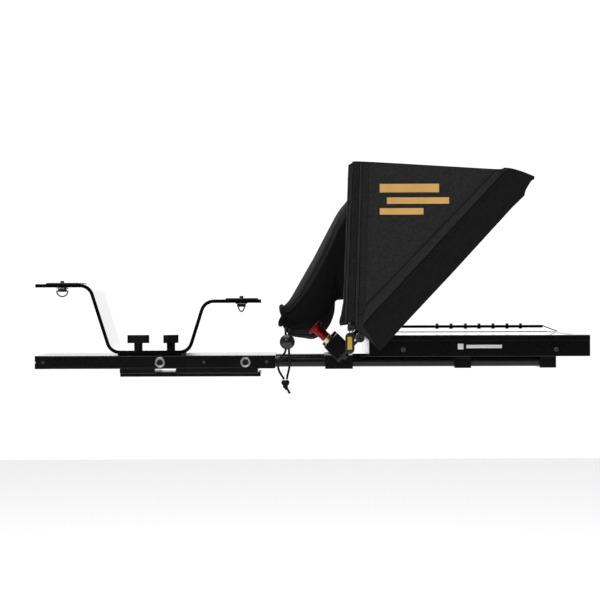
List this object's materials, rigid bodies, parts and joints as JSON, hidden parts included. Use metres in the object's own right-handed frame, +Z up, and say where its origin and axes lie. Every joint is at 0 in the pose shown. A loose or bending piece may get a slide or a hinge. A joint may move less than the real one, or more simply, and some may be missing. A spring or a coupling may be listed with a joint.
{
  "type": "teleprompter",
  "caption": "Rod-mounted teleprompter with a camera riser, tilting beam-splitter frame in a fabric hood with lens shroud, and a flat monitor on sliding clamps.",
  "frame": {"origin": "centre of the 3/8 inch tripod thread at the underside of the tripod plate", "axes": "+X towards the speaker, +Y to the camera's left side, +Z up"},
  "size_m": [0.7908, 0.395, 0.328],
  "materials": {
    "black_paint": "gloss",
    "riser_paint": "gloss",
    "socket_bolts": "satin",
    "dark_steel": "satin",
    "rod_black": "satin",
    "leg_aluminium": "satin",
    "pad_rubber": "matte",
    "knob_black": "matte",
    "brass_bush": "satin",
    "red_anodised": "anodised satin",
    "splitter_glass": "polished",
    "hood_weave": "woven",
    "shroud_cloth": "matte woven",
    "zipper_tape": "woven",
    "zipper_metal": "polished",
    "pull_yellow": "satin",
    "cord_black": "braided",
    "lock_plastic": "satin",
    "case_plastic": "satin",
    "screen_panel": "gloss",
    "board_green": "matte",
    "button_grey": "satin"
  },
  "bodies": {
    "base": {"tripod_plate": "black_paint", "saddle_block": "black_paint", "deck_plate": "black_paint", "side_rail_left": "black_paint", "side_rail_right": "black_paint", "rear_cross_bar": "black_paint", "front_cross_bar": "black_paint", "rod_clamp_bolts": "socket_bolts", "bar_screws": "dark_steel", "saddle_screws": "socket_bolts"},
    "rods": {"rod_left": "rod_black", "rod_right": "rod_black"},
    "riser": {"riser_plate": "riser_paint", "rubber_pads": "pad_rubber"},
    "riser_knob_rear": {"riser_knob_rear": "knob_black"},
    "riser_knob_front": {"riser_knob_front": "knob_black"},
    "washer_rear": {"captive_washer_rear": "socket_bolts"},
    "screw_rear": {"camera_screw_rear": "dark_steel"},
    "ring_rear": {"screw_ring_rear": "dark_steel"},
    "washer_front": {"captive_washer_front": "socket_bolts"},
    "screw_front": {"camera_screw_front": "dark_steel"},
    "ring_front": {"screw_ring_front": "dark_steel"},
    "hood_mount": {"hood_bracket": "black_paint", "receiver_blocks": "black_paint", "clamp_bushes": "brass_bush"},
    "red_knob_left": {"red_knob_left": "red_anodised"},
    "red_knob_right": {"red_knob_right": "red_anodised"},
    "legs": {"frame_legs": "leg_aluminium", "pivot_bolts": "dark_steel"},
    "glass_frame": {"frame_cross_bars": "black_paint", "frame_side_bars": "black_paint", "beam_splitter": "splitter_glass", "hood_side_left": "hood_weave", "hood_side_right": "hood_weave", "hood_top": "hood_weave", "hood_back": "hood_weave", "lens_shroud": "shroud_cloth", "hood_zipper": "zipper_tape", "cord_lock": "lock_plastic", "drawcord_rear": "cord_black", "drawcord_front": "cord_black", "drawcord_knot": "cord_black"},
    "zip_slider": {"zipper_slider": "zipper_metal"},
    "zip_pull": {"zipper_pull": "pull_yellow"},
    "cord_button": {"cord_lock_button": "lock_plastic"},
    "monitor": {"monitor_case": "case_plastic", "monitor_bezel": "case_plastic", "monitor_screen": "screen_panel", "driver_board": "board_green", "control_strip": "case_plastic", "case_screws": "dark_steel", "monitor_clamp_rear": "black_paint", "monitor_clamp_front": "black_paint"},
    "button_1": {"button_1": "button_grey"},
    "button_2": {"button_2": "button_grey"},
    "button_3": {"button_3": "button_grey"},
    "button_4": {"button_4": "button_grey"},
    "button_5": {"button_5": "button_grey"},
    "button_6": {"button_6": "button_grey"},
    "button_7": {"button_7": "button_grey"}
  },
  "joints": [
    {"name": "rod_slide", "type": "slide", "parent": "base", "child": "rods", "axis": [1, 0, 0], "range_m": [-0.01, 0.1]},
    {"name": "riser_slide", "type": "slide", "parent": "base", "child": "riser", "axis": [1, 0, 0], "range_m": [-0.014, 0.015]},
    {"name": "riser_knob_rear_turn", "type": "hinge", "parent": "base", "child": "riser_knob_rear", "pos_m": [-0.0838, 0, 0.045], "axis": [0, 0, 1], "continuous": true},
    {"name": "riser_knob_front_turn", "type": "hinge", "parent": "base", "child": "riser_knob_front", "pos_m": [-0.0353, 0, 0.045], "axis": [0, 0, 1], "continuous": true},
    {"name": "camera_screw_rear_slide", "type": "slide", "parent": "riser", "child": "washer_rear", "axis": [1, 0, 0], "range_m": [-0.008, 0.021]},
    {"name": "camera_screw_rear_turn", "type": "hinge", "parent": "washer_rear", "child": "screw_rear", "pos_m": [-0.1968, 0, 0.13], "axis": [0, 0, 1], "continuous": true},
    {"name": "ring_rear_swing", "type": "hinge", "parent": "screw_rear", "child": "ring_rear", "pos_m": [-0.1968, 0, 0.1264], "axis": [1, 0, 0], "range_deg": [-80, 80]},
    {"name": "camera_screw_front_slide", "type": "slide", "parent": "riser", "child": "washer_front", "axis": [1, 0, 0], "range_m": [-0.011, 0.014]},
    {"name": "camera_screw_front_turn", "type": "hinge", "parent": "washer_front", "child": "screw_front", "pos_m": [0.0698, 0, 0.107], "axis": [0, 0, 1], "continuous": true},
    {"name": "ring_front_swing", "type": "hinge", "parent": "screw_front", "child": "ring_front", "pos_m": [0.0698, 0, 0.1034], "axis": [0.5, 0.866, 0], "range_deg": [-80, 80]},
    {"name": "hood_mount_slide", "type": "slide", "parent": "rods", "child": "hood_mount", "axis": [1, 0, 0], "range_m": [-0.015, 0]},
    {"name": "red_knob_left_turn", "type": "hinge", "parent": "hood_mount", "child": "red_knob_left", "pos_m": [0.18996, 0.119, 0.06207], "axis": [-0.7193, 0, 0.6947], "continuous": true},
    {"name": "red_knob_right_turn", "type": "hinge", "parent": "hood_mount", "child": "red_knob_right", "pos_m": [0.18996, -0.119, 0.06207], "axis": [-0.7193, 0, 0.6947], "continuous": true},
    {"name": "leg_slide", "type": "slide", "parent": "hood_mount", "child": "legs", "axis": [0.6947, 0, 0.7193], "range_m": [0, 0.004]},
    {"name": "frame_tilt", "type": "hinge", "parent": "legs", "child": "glass_frame", "pos_m": [0.2428, 0, 0.05733], "axis": [0, 1, 0], "range_deg": [-4, 9]},
    {"name": "zip_slide", "type": "slide", "parent": "glass_frame", "child": "zip_slider", "axis": [0.0393, 0, 0.9992], "range_m": [0, 0.2]},
    {"name": "zip_pull_swing", "type": "hinge", "parent": "zip_slider", "child": "zip_pull", "pos_m": [0.228, -0.2002, 0.0705], "axis": [1, 0, 0], "range_deg": [-150, 0]},
    {"name": "cord_button_press", "type": "slide", "parent": "glass_frame", "child": "cord_button", "axis": [0, -1, 0], "range_m": [0, 0.002], "stiffness_N_per_m": 400, "springref_m": -0.0005},
    {"name": "monitor_slide", "type": "slide", "parent": "rods", "child": "monitor", "axis": [1, 0, 0], "range_m": [0, 0.015]},
    {"name": "button_1_press", "type": "slide", "parent": "monitor", "child": "button_1", "axis": [0, 0, -1], "range_m": [0, 0.001], "stiffness_N_per_m": 300, "springref_m": -0.0005},
    {"name": "button_2_press", "type": "slide", "parent": "monitor", "child": "button_2", "axis": [0, 0, -1], "range_m": [0, 0.001], "stiffness_N_per_m": 300, "springref_m": -0.0005},
    {"name": "button_3_press", "type": "slide", "parent": "monitor", "child": "button_3", "axis": [0, 0, -1], "range_m": [0, 0.001], "stiffness_N_per_m": 300, "springref_m": -0.0005},
    {"name": "button_4_press", "type": "slide", "parent": "monitor", "child": "button_4", "axis": [0, 0, -1], "range_m": [0, 0.001], "stiffness_N_per_m": 300, "springref_m": -0.0005},
    {"name": "button_5_press", "type": "slide", "parent": "monitor", "child": "button_5", "axis": [0, 0, -1], "range_m": [0, 0.001], "stiffness_N_per_m": 300, "springref_m": -0.0005},
    {"name": "button_6_press", "type": "slide", "parent": "monitor", "child": "button_6", "axis": [0, 0, -1], "range_m": [0, 0.001], "stiffness_N_per_m": 300, "springref_m": -0.0005},
    {"name": "button_7_press", "type": "slide", "parent": "monitor", "child": "button_7", "axis": [0, 0, -1], "range_m": [0, 0.001], "stiffness_N_per_m": 300, "springref_m": -0.0005}
  ]
}
